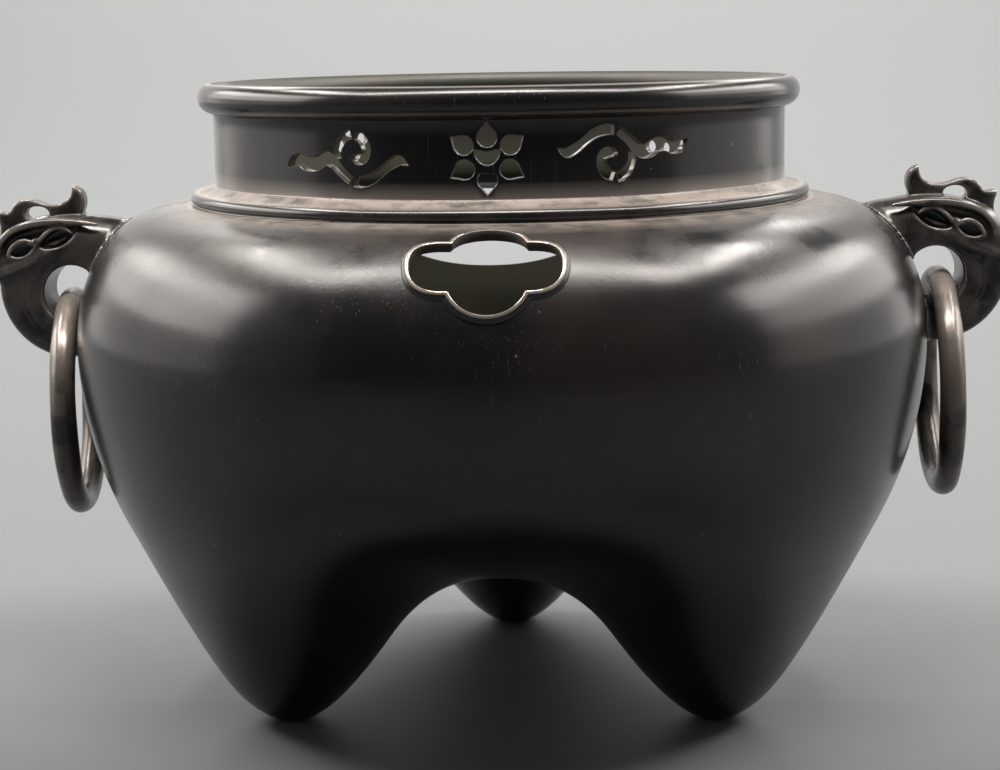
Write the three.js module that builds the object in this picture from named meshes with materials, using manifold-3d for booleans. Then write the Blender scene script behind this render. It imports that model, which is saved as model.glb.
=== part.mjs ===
// A cast bronze tripod brazier with two beast-head lugs that carry loose ring handles.
// Millimetres, +Z up, standing on z = 0, with the front window facing -Y and the lugs at +X and -X.
import * as THREE from 'three';
import { mergeVertices } from 'three/addons/utils/BufferGeometryUtils.js';
import Module from 'manifold-3d';

// Body: a round belly that runs down into three hollow feet.
const BELLY_RADIUS = 170;
const BELLY_HEIGHT = 148;
const WALL = 2.8;
const BOWL_DEPTH = 90;
const BOWL_POWER = 2.4;
const BELLY_TAPER = 1.1;
const FLANK_TOP = 74;
const FLANK_SLOPE = 0.5;
const FOOT_CIRCLE = 96.2;
const FOOT_AZIMUTHS = [-60, 60, 180];
const TOE_ROUNDNESS = 34;
const TOE_SPREAD = 0.33;
const TOE_WORN = 0.9;
const FOOT_SOLE = 6;
const FOOT_CLOSENESS = 0.85;
const ARCH_BLEND = 26;
const FLANK_BLEND = 4;
const BELLY_HEART_RISE = 52;

// Shoulder above the belly, then the moulding, collar and rolled rim, as [radius, height].
const SHOULDER = [[170, 148], [169.6, 156], [167.6, 167], [164.4, 176], [160, 184.2], [153.6, 191.8],
  [145.5, 197.4], [134.5, 200.7], [123.6, 202]];
const MOULDING = [[122.3, 202.9], [123.3, 204.2], [122.8, 206.2], [120.6, 207.3], [118.4, 207.6], [116, 209.2]];
const COLLAR_RADIUS = 113.7;
const COLLAR = [[COLLAR_RADIUS + 0.4, 211.4], [COLLAR_RADIUS, 237.6]];
const RIM = [[116.6, 238.8], [119, 241.6], [119.5, 244.6], [118.4, 247.2], [115, 248.8], [109.6, 249.6]];
const RIM_INSIDE = [[110.4, 238.6], [106.6, 243], [105.4, 246.2], [106.6, 248.6], [109.2, 249.6]];
const SHOULDER_ARRIS = [[122, 198.4], [113, 200.2], [110.4, 203.6]];

// Front window: four round lobes on the shoulder, edged with a thin raised band.
const WINDOW_HEIGHT = 190.5;
const WINDOW_LOBES = [
  { across: 1.4, up: 6.6, width: 13, height: 13.4, power: 2 },
  { across: 0.8, up: -6.3, width: 13.4, height: 11.9, power: 2 },
  { across: -13.9, up: 0.1, width: 11.7, height: 10, power: 2.5 },
  { across: 14.6, up: 0.1, width: 11.5, height: 10, power: 2.5 },
];
const WINDOW_STEPS = 40;
const BAND_SECTION = [[-0.6, -2], [2.7, -2], [2.4, 0.1], [0.9, 1.4], [-0.6, 1.4]];

// Back vent: a half moon lying on its back.
const VENT_TOP = 195;
const VENT_DEPTH = 38.7;
const VENT_HALF_WIDTH = 58;
const VENT_POWER = 2.2;
const VENT_OFFSET = -10;

// Openwork in the collar: a flower between two clouds at the front, and a four-petalled blossom to either
// side at the back.
const OPENWORK_HEIGHT = 224.7;
const FLOWER_ANGLE = -0.15;
const CLOUD_ANGLES = { upright: -26.7, turned: 24.7 };
const PETAL_RADIUS = 3.5;
const PETALS = [
  { root: [0, 6.8], tip: [0, 12.1] },
  { root: [8.3, 4.1], tip: [12.8, 7.2] },
  { root: [-8.3, 4.1], tip: [-12.8, 7.2] },
  { root: [8, -4.3], tip: [12.9, -7] },
  { root: [-8, -4.3], tip: [-12.9, -7] },
];
const LOW_PETAL = { root: [0, -8], tip: [0, -13.3], top: -5.8 };
const FLOWER_EYE = { width: 4.6, top: 2.7, dip: 0.8, bottom: -2.9 };
const BLOSSOMS = [{ angle: -142, turn: -15 }, { angle: 142.6, turn: -40 }];
const BLOSSOM = { petals: 4, reach: 5.5, petalRadius: 2.7, drop: 4.7 };
// Brush strokes of one cloud, each station as [across, up, half width].
const CLOUD_STROKES = [
  [[-27.8, -4.2, 0.1], [-24.8, -2, 1.8], [-21.4, -1.3, 2.05], [-18.5, -2.6, 2.3], [-14.7, -2.8, 2.5],
    [-11.5, -1.4, 2.6], [-8.9, -0.5, 2.4], [-5.9, -1.6, 2.2], [-3, -4.6, 1.7], [1.5, -8.1, 1.5]],
  [[-4, -0.3, 1.6], [-3.8, 2.3, 1.5], [-2.6, 5, 1.7], [-0.2, 7.4, 1.7], [2, 8.1, 1.6]],
  [[3.5, 7.8, 1.5], [6.3, 6.5, 1.9], [8, 3.5, 1.8], [7.8, 0.6, 1.75], [5.7, -0.7, 1.9], [3.4, -0.5, 1.3],
    [2, -0.2, 0.3]],
  [[3.2, -8.5, 1.7], [6.3, -8.7, 1.9], [10.4, -7.5, 1.8], [14.5, -4.7, 1.5], [17.7, -2.4, 1.7], [21, -1, 1.7],
    [24.2, -2.5, 0.1]],
];

// Lugs, drawn for the right side: a head in side view, its ring hole, crest, brow, cheek, eye and ear.
// The two castings differ a little in how high they were let in and in where the face sits along the head,
// and the loose rings hang a degree or so out of plumb and a few degrees out of square.
const LUG_HALF_DEPTH = 13.5;
const LUG_EDGE = 4;
const LUG_FIT_GAP = 0.4;
const LUGS = {
  right: { rise: 2.3, slip: -2.6, ringOut: 0.8, ringLean: -1.3, ringTwist: -1.5 },
  left: { rise: -2.5, slip: 3.2, ringOut: 0.1, ringLean: 0.7, ringTwist: -4.4 },
};
const JAW = { across: 171.5, up: 172, radius: 28.7, from: 2, to: -84 };
const HEAD_LINE = [[140, 188], [146, 196], [156, 198.3], [168, 199.6], [179, 199.2], [189, 197], [195.6, 193.6],
  [199.4, 188.6], [199.6, 184.4], [203.4, 184.9], [208.6, 184.2], [211.6, 180.8], [210, 176.8], [204.6, 174.8]];
const JAW_ROOT = [[160, 141], [150, 165]];
const HOLE = { across: 173.4, up: 169.2, radius: 11.2, mouth: 14 };
const CREST_HALF_DEPTH = 4;
const CREST_LINE = [[168.8, 197], [165.4, 203], [165, 207], [166.4, 209.8], [169.6, 211.6], [170.4, 208.6],
  [172.6, 205.6], [176.4, 204], [181, 204.4], [186, 206], [190.4, 206], [194, 203.8], [196.4, 200.6],
  [201, 201.2], [199.8, 196], [199.3, 189], [190, 189]];
const CREST_HOLE = { across: 185.4, up: 201.1, width: 4.7, height: 2.5 };
const BROW = { path: [[160, 195.4], [172, 196.8], [184, 196], [193, 192.6], [197.4, 186.4]], radius: 3 };
const CHEEK = { path: [[175, 187.6], [182, 185.6], [190, 182.6], [199, 181], [206.5, 179.6]], radius: 3.2 };
const EYE = { across: 189.2, up: 187, width: 5, height: 2.9, tilt: -12 };
const EAR = { across: 176, up: 191.6, width: 4.8, height: 2.3, tilt: -28 };
const HOLLOW_DEPTH = 2.6;

// Rings, hanging through the holes.
const RING_RADIUS = 41.5;
const RING_WIRE = 5;
const RING_PIVOT = { across: 175.3, up: 164.6 };

// Fineness of the faceted surfaces.
const AROUND = 42;
const AROUND_INSIDE = 24;
const FOOT_CROWDING = 0.3;
const POLE_ANGLES = [[0, 17, 1], [17, 31, 7], [31, 54, 4], [54, 90, 3]];
const POLE_ANGLES_INSIDE = [[0, 18, 1], [18, 30, 4], [30, 54, 3], [54, 90, 2]];
const SHOULDER_STEPS = 7;
const SHOULDER_STEPS_INSIDE = 6;
const RING_STEPS = 24;
const WIRE_SIDES = 8;
const HOLE_SIDES = 18;

const wasm = await Module();
wasm.setup();

const radians = THREE.MathUtils.degToRad;
const lerp = THREE.MathUtils.lerp;

function solidOf(geometry) {
  const bare = geometry.clone();
  bare.deleteAttribute('normal');
  bare.deleteAttribute('uv');
  const merged = mergeVertices(bare, 1e-4);
  return new wasm.Manifold(new wasm.Mesh({
    numProp: 3,
    vertProperties: new Float32Array(merged.attributes.position.array),
    triVerts: new Uint32Array(merged.index.array),
  }));
}

function geometryOf(solid) {
  const mesh = solid.getMesh();
  const geometry = new THREE.BufferGeometry();
  geometry.setAttribute('position', new THREE.BufferAttribute(new Float32Array(mesh.vertProperties), 3));
  geometry.setIndex(new THREE.BufferAttribute(new Uint32Array(mesh.triVerts), 1));
  geometry.computeVertexNormals();
  return geometry;
}

function geometryFrom(points, triangles) {
  const geometry = new THREE.BufferGeometry();
  const spots = points.flatMap((point) => point.toArray());
  geometry.setAttribute('position', new THREE.Float32BufferAttribute(spots, 3));
  geometry.setIndex(triangles);
  return geometry;
}

const joined = (solids) => solids.reduce((whole, solid) => whole.add(solid));
const cutFrom = (solid, tools) => tools.reduce((rest, tool) => rest.subtract(tool), solid);

// Stacks closed rings of equal length, lowest first, between two end points.
function stackedRings(bottom, rings, top) {
  const count = rings[0].length;
  const points = [bottom, ...rings.flat(), top];
  const last = points.length - 1;
  const at = (ring, step) => 1 + ring * count + (step % count);
  const triangles = [];
  for (let step = 0; step < count; step += 1) {
    triangles.push(0, at(0, step + 1), at(0, step));
    triangles.push(last, at(rings.length - 1, step), at(rings.length - 1, step + 1));
    for (let ring = 0; ring < rings.length - 1; ring += 1) {
      triangles.push(at(ring, step), at(ring, step + 1), at(ring + 1, step + 1));
      triangles.push(at(ring, step), at(ring + 1, step + 1), at(ring + 1, step));
    }
  }
  return solidOf(geometryFrom(points, triangles));
}

const onCircle = (radius, azimuth, z) => new THREE.Vector3(
  radius * Math.sin(azimuth), -radius * Math.cos(azimuth), z);

// Even steps around, crowded towards the three feet.
function azimuthOf(step, count) {
  const even = step * 2 * Math.PI / count;
  return even + FOOT_CROWDING * Math.sin(3 * even) / 3;
}

const turned = ([radius, z], count) => Array.from({ length: count }, (_, step) => (
  onCircle(radius, azimuthOf(step, count), z)));

function smoothMin(a, b, blend) {
  const overlap = Math.max(blend - Math.abs(a - b), 0) / blend;
  return Math.min(a, b) - overlap * overlap * blend / 4;
}

const smoothMax = (a, b, blend) => -smoothMin(-a, -b, blend);

const footCentres = FOOT_AZIMUTHS.map((azimuth) => onCircle(FOOT_CIRCLE, radians(azimuth), 0));

// Radius of one foot at a height: a ball-shaped toe, worn flat where it stands, that opens into a cone.
function footRadius(z) {
  const rise = Math.max(z + TOE_WORN, 0);
  return Math.sqrt(TOE_ROUNDNESS * rise + TOE_SPREAD * rise ** 2);
}

// Greatest radius of the whole body at a height: a ball, with straight flanks below it.
function flankRadius(z) {
  const drop = BELLY_HEIGHT - Math.max(z, FLANK_TOP);
  return Math.sqrt(BELLY_RADIUS ** 2 - BELLY_TAPER * drop ** 2) - FLANK_SLOPE * Math.max(FLANK_TOP - z, 0);
}

// Below zero inside the lower body, above zero outside, roughly in millimetres.
function lowerBody(point) {
  const radius = Math.hypot(point.x, point.y);
  const across = radius / BELLY_RADIUS;
  const down = Math.abs(BELLY_HEIGHT - point.z) / BOWL_DEPTH;
  const size = (across ** BOWL_POWER + down ** BOWL_POWER) ** (1 / BOWL_POWER);
  let field = (size - 1) * BOWL_DEPTH;
  for (const foot of footCentres) {
    const reach = Math.hypot(point.x - foot.x, point.y - foot.y);
    field = smoothMin(field, (reach - footRadius(point.z)) * FOOT_CLOSENESS, ARCH_BLEND);
  }
  const flank = (radius - flankRadius(point.z)) * Math.cos(Math.atan(FLANK_SLOPE));
  return smoothMax(Math.max(field, -FLANK_BLEND / 2 - point.z), flank, FLANK_BLEND);
}

function outwardAt(point) {
  const step = 0.5;
  const slope = ['x', 'y', 'z'].map((axis) => {
    const ahead = point.clone();
    const behind = point.clone();
    ahead[axis] += step;
    behind[axis] -= step;
    return lowerBody(ahead) - lowerBody(behind);
  });
  return new THREE.Vector3(...slope).normalize();
}

// The skin met by a ray from the axis. Steeper rays start higher, so that they reach down the feet.
function skinPoint(azimuth, poleAngle) {
  const start = new THREE.Vector3(0, 0, BELLY_HEIGHT + BELLY_HEART_RISE * Math.cos(poleAngle) ** 2);
  const ray = onCircle(Math.sin(poleAngle), azimuth, -Math.cos(poleAngle));
  let inside = 30;
  let outside = inside;
  while (lowerBody(start.clone().addScaledVector(ray, outside)) < 0) {
    inside = outside;
    outside += 2;
  }
  for (let halving = 0; halving < 16; halving += 1) {
    const middle = (inside + outside) / 2;
    if (lowerBody(start.clone().addScaledVector(ray, middle)) < 0) inside = middle;
    else outside = middle;
  }
  return start.addScaledVector(ray, inside);
}

const stepsThrough = (spans) => spans.flatMap(([from, to, count]) => (
  Array.from({ length: count }, (_, step) => radians(lerp(from, to, (step + 1) / count)))));

// One ring of the lower body, set in from the skin by a depth.
function lowerRing(poleAngle, count, depth) {
  return Array.from({ length: count }, (_, step) => {
    const point = skinPoint(azimuthOf(step, count), poleAngle);
    if (depth !== 0) point.addScaledVector(outwardAt(point), -depth);
    if (depth > 0) point.z = Math.max(point.z, FOOT_SOLE);
    return point;
  });
}

const shoulderCurve = new THREE.SplineCurve(SHOULDER.map(([radius, z]) => new THREE.Vector2(radius, z)));

// Shoulder profile set in by a depth, from the belly up.
function shoulderProfile(count, depth) {
  return Array.from({ length: count }, (_, step) => {
    const place = (step + 1) / count;
    const point = shoulderCurve.getPoint(place);
    const along = shoulderCurve.getTangent(place);
    return [point.x - along.y * depth, point.y + along.x * depth];
  });
}

function outerBody(grow) {
  const rings = stepsThrough(POLE_ANGLES).map((angle) => lowerRing(angle, AROUND, -grow));
  const profile = [...shoulderProfile(SHOULDER_STEPS, -grow), ...MOULDING, ...COLLAR, ...RIM];
  rings.push(...profile.map((spot) => turned(spot, AROUND)));
  const bottom = skinPoint(0, 0);
  bottom.z -= grow;
  return stackedRings(bottom, rings, new THREE.Vector3(0, 0, RIM.at(-1)[1]));
}

function innerHollow() {
  const rings = stepsThrough(POLE_ANGLES_INSIDE).map((angle) => lowerRing(angle, AROUND_INSIDE, WALL));
  const top = RIM_INSIDE.at(-1);
  const shoulder = shoulderProfile(SHOULDER_STEPS_INSIDE, WALL).slice(0, -1);
  const profile = [...shoulder, ...SHOULDER_ARRIS, ...RIM_INSIDE, [top[0] + 2, top[1] + 4]];
  rings.push(...profile.map((spot) => turned(spot, AROUND_INSIDE)));
  const bottom = skinPoint(0, 0);
  bottom.z += WALL;
  return stackedRings(bottom, rings, new THREE.Vector3(0, 0, top[1] + 4));
}

// Places a point given across and up the shoulder, in millimetres on its surface, at a height above it.
const shoulderLength = shoulderCurve.getLength();
const windowPlace = (() => {
  let low = 0;
  let high = 1;
  for (let halving = 0; halving < 24; halving += 1) {
    const middle = (low + high) / 2;
    if (shoulderCurve.getPointAt(middle).y < WINDOW_HEIGHT) low = middle;
    else high = middle;
  }
  return low;
})();

function onShoulder(across, up, height) {
  const place = THREE.MathUtils.clamp(windowPlace + up / shoulderLength, 0, 1);
  const point = shoulderCurve.getPointAt(place);
  const along = shoulderCurve.getTangentAt(place);
  const azimuth = across / point.x;
  return onCircle(point.x + along.y * height, azimuth, point.y - along.x * height);
}

// Distance from the window's centre to its outline in one direction, the lobes grown by a margin.
function windowReach(angle, grow) {
  let inside = 0;
  let outside = 60;
  for (let halving = 0; halving < 30; halving += 1) {
    const middle = (inside + outside) / 2;
    const covered = WINDOW_LOBES.some((lobe) => (
      Math.abs((middle * Math.cos(angle) - lobe.across) / (lobe.width + grow)) ** lobe.power
      + Math.abs((middle * Math.sin(angle) - lobe.up) / (lobe.height + grow)) ** lobe.power < 1));
    if (covered) inside = middle;
    else outside = middle;
  }
  return inside;
}

const windowRing = (grow, height) => Array.from({ length: WINDOW_STEPS }, (_, step) => {
  const angle = step * 2 * Math.PI / WINDOW_STEPS;
  const reach = windowReach(angle, grow);
  return onShoulder(reach * Math.cos(angle), reach * Math.sin(angle), height);
});

function windowBand() {
  const rings = BAND_SECTION.map(([grow, height]) => windowRing(grow, height));
  const points = rings.flat();
  const at = (ring, step) => (ring % rings.length) * WINDOW_STEPS + (step % WINDOW_STEPS);
  const triangles = [];
  for (let ring = 0; ring < rings.length; ring += 1) {
    for (let step = 0; step < WINDOW_STEPS; step += 1) {
      triangles.push(at(ring, step), at(ring + 1, step + 1), at(ring, step + 1));
      triangles.push(at(ring, step), at(ring + 1, step), at(ring + 1, step + 1));
    }
  }
  return solidOf(geometryFrom(points, triangles.reverse()));
}

function windowTool() {
  const [below, above] = [-16, 8];
  const rings = [windowRing(0, below), windowRing(0, 0), windowRing(0, above)];
  return stackedRings(onShoulder(0, 0, below), rings, onShoulder(0, 0, above));
}

const shapeOf = (outline) => new THREE.Shape(outline.map(([x, y]) => new THREE.Vector2(x, y)));

function ventTool() {
  const outline = [[-VENT_HALF_WIDTH, 0]];
  const steps = 14;
  for (let step = 1; step < steps; step += 1) {
    const angle = Math.PI * step / steps;
    const across = -Math.cos(angle);
    const down = Math.sin(angle);
    outline.push([VENT_HALF_WIDTH * Math.sign(across) * Math.abs(across) ** (2 / VENT_POWER),
      -VENT_DEPTH * down ** (2 / VENT_POWER)]);
  }
  outline.push([VENT_HALF_WIDTH, 0]);
  const slab = new THREE.ExtrudeGeometry(shapeOf(outline), { depth: 90, bevelEnabled: false });
  slab.rotateX(Math.PI / 2);
  slab.translate(VENT_OFFSET, BELLY_RADIUS + 30, VENT_TOP);
  return solidOf(slab);
}

// Cuts a flat outline through the collar at an angle from the front, turned about its own centre if asked.
function collarTool(outline, angle, upsideDown) {
  const depth = 16;
  const sign = upsideDown ? -1 : 1;
  const flat = new THREE.ExtrudeGeometry(shapeOf(outline.map(([x, y]) => [sign * x, sign * y])),
    { depth, bevelEnabled: false });
  const spots = flat.attributes.position;
  for (let index = 0; index < spots.count; index += 1) {
    const azimuth = radians(angle) + spots.getX(index) / COLLAR_RADIUS;
    const radius = COLLAR_RADIUS - depth / 2 + spots.getZ(index);
    const spot = onCircle(radius, azimuth, OPENWORK_HEIGHT + spots.getY(index));
    spots.setXYZ(index, spot.x, spot.y, spot.z);
  }
  return solidOf(flat);
}

// A closed band along smooth stations of place and half width.
function strokeOutline(stations) {
  const line = new THREE.CatmullRomCurve3(stations.map((station) => new THREE.Vector3(...station)));
  const steps = stations.length;
  const sides = [[], []];
  for (let step = 0; step <= steps; step += 1) {
    const spot = line.getPoint(step / steps);
    const along = line.getTangent(step / steps).setZ(0).normalize();
    const half = Math.max(spot.z, 0.1);
    sides[0].push([spot.x + along.y * half, spot.y - along.x * half]);
    sides[1].unshift([spot.x - along.y * half, spot.y + along.x * half]);
  }
  return sides.flat();
}

// A petal, round at its root and running to a point.
function petalOutline({ root, tip, top = Infinity }) {
  const [dx, dy] = [tip[0] - root[0], tip[1] - root[1]];
  const reach = Math.hypot(dx, dy);
  const facing = Math.atan2(dy, dx);
  const tangent = Math.acos(PETAL_RADIUS / reach);
  const steps = 6;
  const outline = [tip];
  for (let step = 0; step <= steps; step += 1) {
    const angle = facing + lerp(tangent, 2 * Math.PI - tangent, step / steps);
    const across = root[0] + PETAL_RADIUS * Math.cos(angle);
    const height = root[1] + PETAL_RADIUS * Math.sin(angle);
    outline.push([across, Math.min(height, top)]);
  }
  return outline;
}

function flowerEyeOutline() {
  const { width, top, dip, bottom } = FLOWER_EYE;
  const steps = 6;
  const outline = [[0, top - dip]];
  for (let step = 0; step <= steps; step += 1) {
    const angle = Math.PI * step / steps;
    outline.unshift([width * Math.cos(angle), top + (bottom - top) * Math.sin(angle)]);
  }
  return outline;
}

function blossomOutline(petal, turn) {
  const steps = 8;
  const facing = radians(turn + 360 * petal / BLOSSOM.petals);
  return Array.from({ length: steps }, (_, step) => {
    const angle = facing + 2 * Math.PI * step / steps;
    return [BLOSSOM.reach * Math.cos(facing) + BLOSSOM.petalRadius * Math.cos(angle),
      BLOSSOM.reach * Math.sin(facing) + BLOSSOM.petalRadius * Math.sin(angle) - BLOSSOM.drop];
  });
}

function openworkTools() {
  const flower = [...PETALS, LOW_PETAL].map(petalOutline);
  flower.push(flowerEyeOutline());
  const cloud = CLOUD_STROKES.map(strokeOutline);
  return [
    ...flower.map((outline) => collarTool(outline, FLOWER_ANGLE, false)),
    ...BLOSSOMS.flatMap(({ angle, turn }) => Array.from({ length: BLOSSOM.petals },
      (_, petal) => collarTool(blossomOutline(petal, turn), angle, false))),
    ...cloud.map((outline) => collarTool(outline, CLOUD_ANGLES.upright, false)),
    ...cloud.map((outline) => collarTool(outline, CLOUD_ANGLES.turned, true)),
  ];
}

function vesselSolid() {
  const size = 3 * BELLY_RADIUS;
  const ground = new THREE.BoxGeometry(size, size, size);
  ground.translate(0, 0, -size / 2);
  const shell = outerBody(0).subtract(innerHollow()).subtract(solidOf(ground)).add(windowBand());
  return cutFrom(shell, [windowTool(), ventTool(), ...openworkTools()]);
}

// A plate in side view with rounded edges, centred on the plane through the lugs.
function sidePlate(outline, halfDepth, edge) {
  const plate = new THREE.ExtrudeGeometry(shapeOf(outline), {
    depth: 2 * (halfDepth - edge),
    bevelEnabled: edge > 0,
    bevelThickness: edge,
    bevelSize: edge,
    bevelOffset: -edge,
    bevelSegments: edge > 2 ? 2 : 1,
  });
  plate.rotateX(Math.PI / 2);
  plate.translate(0, halfDepth - edge, 0);
  return solidOf(plate);
}

function headOutline() {
  const outline = [...HEAD_LINE];
  const steps = 9;
  for (let step = 0; step <= steps; step += 1) {
    const angle = radians(lerp(JAW.from, JAW.to, step / steps));
    outline.push([JAW.across + JAW.radius * Math.cos(angle), JAW.up + JAW.radius * Math.sin(angle)]);
  }
  return [...outline, ...JAW_ROOT];
}

// The ring's hole, narrowest in the middle and flared at both mouths.
function holeTool() {
  const half = LUG_HALF_DEPTH + 1;
  const profile = [[0, -half], [HOLE.mouth, -half], [HOLE.mouth - 0.5, -half + 3], [HOLE.radius, -half + 11],
    [HOLE.radius, half - 11], [HOLE.mouth - 0.5, half - 3], [HOLE.mouth, half], [0, half]];
  const tool = new THREE.LatheGeometry(profile.map(([x, y]) => new THREE.Vector2(x, y)), HOLE_SIDES);
  tool.translate(HOLE.across, 0, HOLE.up);
  return solidOf(tool);
}

// A round roll laid along one side of the head, sunk at both ends.
function sideRoll({ path, radius }, side) {
  const curve = new THREE.CatmullRomCurve3(path.map(([x, z], index) => {
    const sunk = index === 0 || index === path.length - 1 ? radius + 0.6 : 0.8;
    return new THREE.Vector3(x, side * (LUG_HALF_DEPTH - sunk), z);
  }));
  const section = new THREE.Shape();
  section.absarc(0, 0, radius, 0, 2 * Math.PI);
  return solidOf(new THREE.ExtrudeGeometry(section, { steps: 5, curveSegments: 3, extrudePath: curve }));
}

function ovalHollow({ across, up, width, height, tilt }, side) {
  const oval = new THREE.SphereGeometry(1, 8, 4);
  oval.scale(width, HOLLOW_DEPTH, height);
  oval.rotateY(radians(-tilt));
  oval.translate(across, side * (LUG_HALF_DEPTH + 0.4), up);
  return solidOf(oval);
}

function crestHoleTool() {
  const oval = new THREE.CylinderGeometry(1, 1, 4 * CREST_HALF_DEPTH, 14);
  oval.scale(CREST_HOLE.width, 1, CREST_HOLE.height);
  oval.translate(CREST_HOLE.across, 0, CREST_HOLE.up);
  return solidOf(oval);
}

function rightLugSolid({ rise, slip }) {
  const sides = [-1, 1];
  const slid = (solid) => solid.translate([slip, 0, 0]);
  const crest = slid(sidePlate(CREST_LINE, CREST_HALF_DEPTH, 1).subtract(crestHoleTool()));
  const rolls = sides.flatMap((side) => [sideRoll(BROW, side), sideRoll(CHEEK, side)]);
  const hollows = sides.flatMap((side) => [ovalHollow(EYE, side), ovalHollow(EAR, side)]);
  const head = joined([sidePlate(headOutline(), LUG_HALF_DEPTH, LUG_EDGE), ...rolls.map(slid)]);
  return cutFrom(head, [holeTool(), ...hollows.map(slid)]).add(crest).translate([0, 0, rise]);
}

function ringSolid({ rise, ringOut, ringLean, ringTwist }) {
  const ring = new THREE.TorusGeometry(RING_RADIUS, RING_WIRE, WIRE_SIDES, RING_STEPS);
  ring.rotateY(Math.PI / 2);
  ring.translate(0, 0, -RING_RADIUS);
  ring.rotateY(radians(ringLean));
  ring.rotateZ(radians(ringTwist));
  ring.translate(RING_PIVOT.across + ringOut, 0, RING_PIVOT.up + rise);
  return solidOf(ring);
}

const bronze = (color, roughness) => new THREE.MeshStandardMaterial({ color, roughness, metalness: 1 });

const brazier = new THREE.Group();

function addPiece(name, solid, material) {
  const mesh = new THREE.Mesh(geometryOf(solid), material);
  mesh.name = name;
  brazier.add(mesh);
}

const darkBronze = bronze(0x2a2725, 0.42);
const wornBronze = bronze(0x5a4a40, 0.45);

addPiece('brazier_vessel', vesselSolid(), darkBronze);

const socket = outerBody(LUG_FIT_GAP);
for (const [side, lugSizes] of Object.entries(LUGS)) {
  const lug = rightLugSolid(lugSizes).subtract(socket);
  const ring = ringSolid(lugSizes);
  const mirror = (solid) => (side === 'left' ? solid.mirror([1, 0, 0]) : solid);
  addPiece(`beast_lug_${side}`, mirror(lug), darkBronze);
  addPiece(`handle_ring_${side}`, mirror(ring), wornBronze);
}

export default brazier;
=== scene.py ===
"""A cast bronze tripod brazier: the vessel, two beast-head lugs and two loose rings, dressed for render."""
import math

import bmesh
import bpy
import numpy as np
from mathutils import Matrix, Vector


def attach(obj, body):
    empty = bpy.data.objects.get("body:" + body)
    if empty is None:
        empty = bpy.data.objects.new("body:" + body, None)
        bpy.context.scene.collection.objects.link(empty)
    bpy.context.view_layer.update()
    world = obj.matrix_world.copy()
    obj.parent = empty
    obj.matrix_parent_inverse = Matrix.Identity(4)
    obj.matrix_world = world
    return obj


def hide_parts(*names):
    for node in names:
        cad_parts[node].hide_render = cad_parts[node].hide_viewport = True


bl_info = {
    "name": "Bronze tripod brazier",
    "version": (1, 0, 0),
    "blender": (4, 5, 0),
    "location": "View3D > Sidebar > Brazier",
    "description": "Builds a dark bronze brazier with lobed window, openwork collar and ring handles",
    "category": "Object",
}

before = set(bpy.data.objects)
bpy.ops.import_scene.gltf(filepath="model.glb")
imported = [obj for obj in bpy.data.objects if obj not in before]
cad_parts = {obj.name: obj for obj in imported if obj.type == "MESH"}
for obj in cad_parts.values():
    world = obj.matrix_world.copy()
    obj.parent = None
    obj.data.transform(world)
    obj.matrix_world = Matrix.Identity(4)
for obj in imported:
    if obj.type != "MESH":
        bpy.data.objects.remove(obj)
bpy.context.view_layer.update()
MM = 0.001
# The camera, in metres and radians, before the brazier's own small turn. The focal length is a share of
# the picture's width.
CAMERA_PLACE = (0.000697, -0.88595, 0.27027)
CAMERA_ANGLES = (0.1624, -0.0156, -0.0021)
BRAZIER_TURN = 0.0348
FOCAL_SHARE = 2.1954
FLOOR = (9.0, -5.0, 3.6, 6.0, 0.9)  # half width, front, back, height and the bend's radius, in metres
LIT_PIECES = "brazier pieces"
LIT_FLOOR = "floor pieces"
# A light tent. Its bright ceiling frame: name, start and end on the right side, width, watts right and left.
TENT_STRIPS = (("side strip", (0.90, -0.22, 1.33), (0.79, 0.58, 1.30), 0.17, 11.4, 12.4),
               ("back strip", (0.78, 0.60, 1.28), (0.40, 1.32, 0.80), 0.15, 2.3, 2.3),
               ("front strip", (0.30, -0.37, 1.42), (0.88, -0.37, 1.36), 0.24, 10.8, 11.2))
FRONT_STRIP_MIDDLE = ("front strip middle", (-0.3, -0.37, 1.43), (0.3, -0.37, 1.43), 0.24, 18)
# Its side walls, in tiles: edges along the wall and up it, and the watts of each column of tiles.
TENT_WALL = 1.35
WALL_STOPS = (-0.45, 0.25, 0.85, 1.42)
WALL_LEVELS = (0.05, 0.42, 0.8, 1.14)
WALL_WATTS = {1: ((0.76, 2.7, 7.7), (0.62, 2.5, 6.5), (1.0, 2.2, 4.6)),
              -1: ((0.94, 4.6, 7.4), (0.65, 2.9, 5.8), (0.8, 1.85, 4.8))}
FLOOR_LAMPS = (("floor left", (-1.3, 0.3, 1.5), (0.6, 0.6), 10, (-0.4, 0, 0)),
               ("floor right", (1.3, 0.3, 1.5), (0.6, 0.6), 10, (0.4, 0, 0)),
               ("floor front", (0, -0.6, 2.0), (0.8, 0.5), 4, (0, -0.2, 0)),
               ("backdrop light", (0, 1.9, 2.9), (4.0, 0.5), 90, (0, 3.6, 0.8)))
BACK_WATTS = {1: 0.8, -1: 2.0}
FRONT_WALL_WATTS = {1: 0.25, -1: 0.5}
LAMP_COLOR = (1.0, 0.95, 0.9)

# Sizes of shapes are in millimetres, in the same frame as the solids. Profiles are radius and height.
BELLY_RADIUS = 170
BELLY_HEIGHT = 148
BELLY_HEART_RISE = 52
BOWL_DEPTH = 90
BOWL_POWER = 2.4
BELLY_TAPER = 1.1
FLANK_TOP = 74
FLANK_SLOPE = 0.5
FLANK_BLEND = 4
FOOT_CIRCLE = 96.2
FOOT_AZIMUTHS = (-60, 60, 180)
TOE_ROUNDNESS = 34
TOE_SPREAD = 0.33
TOE_WORN = 0.9
FOOT_SOLE = 6
FOOT_CLOSENESS = 0.85
ARCH_BLEND = 26
EASE_FROM = 84

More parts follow.
